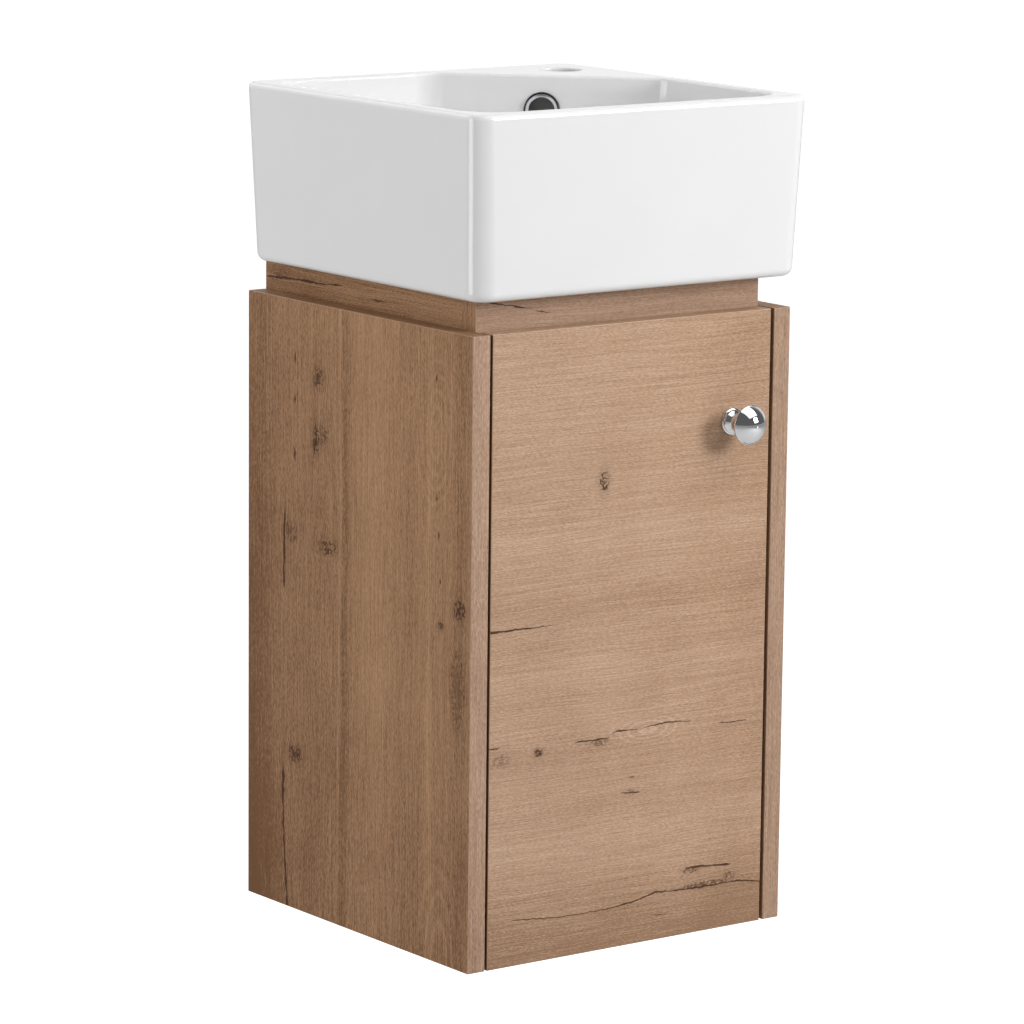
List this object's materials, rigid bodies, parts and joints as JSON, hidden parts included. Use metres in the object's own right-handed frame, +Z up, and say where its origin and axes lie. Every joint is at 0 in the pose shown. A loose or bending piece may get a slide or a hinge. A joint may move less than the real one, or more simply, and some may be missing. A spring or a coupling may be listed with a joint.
{
  "type": "wall-hung vanity unit",
  "caption": "Small wall-hung vanity unit: square ceramic basin with a corner tap deck and slanting bowl wall, on a recessed plinth over an oak-look cabinet with an inset hinged door and knob.",
  "frame": {"origin": "on the wall plane, in the middle of the width, at the underside of the cabinet", "axes": "+X to the right seen from the front, +Y into the wall, +Z up"},
  "size_m": [0.3138, 0.3298, 0.645],
  "materials": {
    "oak_board": "matte oak-look laminate",
    "ceramic": "gloss white glaze",
    "chrome": "polished",
    "steel": "nickel plated",
    "zinc": "die cast",
    "beech": "plain",
    "clear_rubber": "soft, translucent"
  },
  "bodies": {
    "carcass": {"basin": "ceramic", "overflow_ring": "chrome", "side_panel_left": "oak_board", "side_panel_right": "oak_board", "bottom_panel": "oak_board", "lower_back_rail": "oak_board", "hanging_rail": "oak_board", "plinth_front_rail": "oak_board", "plinth_left_rail": "oak_board", "plinth_right_rail": "oak_board", "cam_bolts": "steel", "cam_locks": "zinc", "dowels": "beech", "plinth_screws": "steel", "hinge_arm_lower": "steel", "hinge_arm_upper": "steel", "hinge_plate_lower": "steel", "hinge_plate_upper": "steel", "hinge_plate_screws": "steel", "hinge_arm_screws": "steel"},
    "door": {"door": "oak_board", "door_knob": "chrome", "knob_screw": "steel", "hinge_cup_lower": "steel", "hinge_cup_upper": "steel", "hinge_cup_screws": "steel", "hinge_pins": "steel", "hinge_springs": "steel", "door_bumpers": "clear_rubber"}
  },
  "joints": [
    {"name": "door_swing", "type": "hinge", "parent": "carcass", "child": "door", "pos_m": [-0.1236, -0.2924, 0], "axis": [0, 0, -1], "range_deg": [0, 95]}
  ]
}
